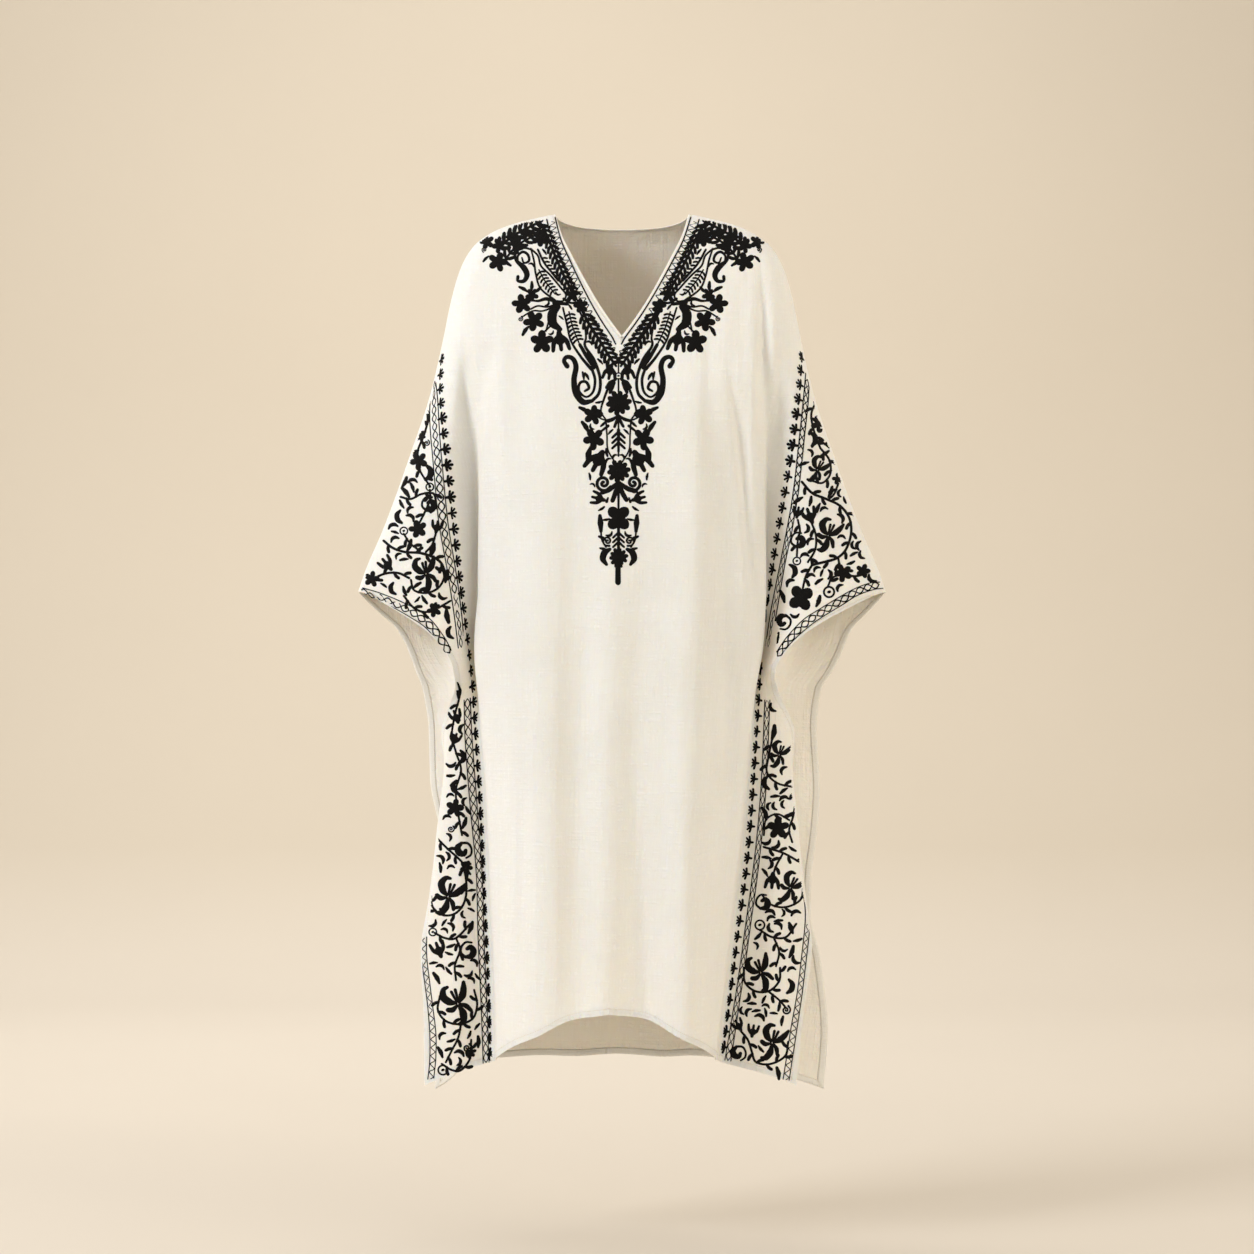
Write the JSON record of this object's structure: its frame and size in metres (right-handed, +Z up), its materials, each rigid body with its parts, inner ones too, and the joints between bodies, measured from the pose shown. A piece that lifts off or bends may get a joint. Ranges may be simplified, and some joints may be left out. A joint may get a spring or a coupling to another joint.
{
  "type": "kaftan",
  "caption": "loose calf-length cotton kaftan worn open and hollow, with a V neck, wide batwing sleeves and free side flaps, embroidered in black on ivory",
  "frame": {"origin": "midway between the two neck points, at the height where the wearer's shoulders carry the cloth", "axes": "+Z up, -Y to the front, +X to the wearer's left"},
  "size_m": [0.7732, 0.3014, 1.2892],
  "materials": {
    "front_cloth": "matt ivory slub cotton with black chain-stitch embroidery",
    "back_cloth": "matt ivory slub cotton",
    "binding_cloth": "matt ivory slub cotton, bias cut"
  },
  "bodies": {
    "root": {"front_panel": "front_cloth", "back_panel": "back_cloth", "neck_binding": "binding_cloth"}
  },
  "joints": []
}
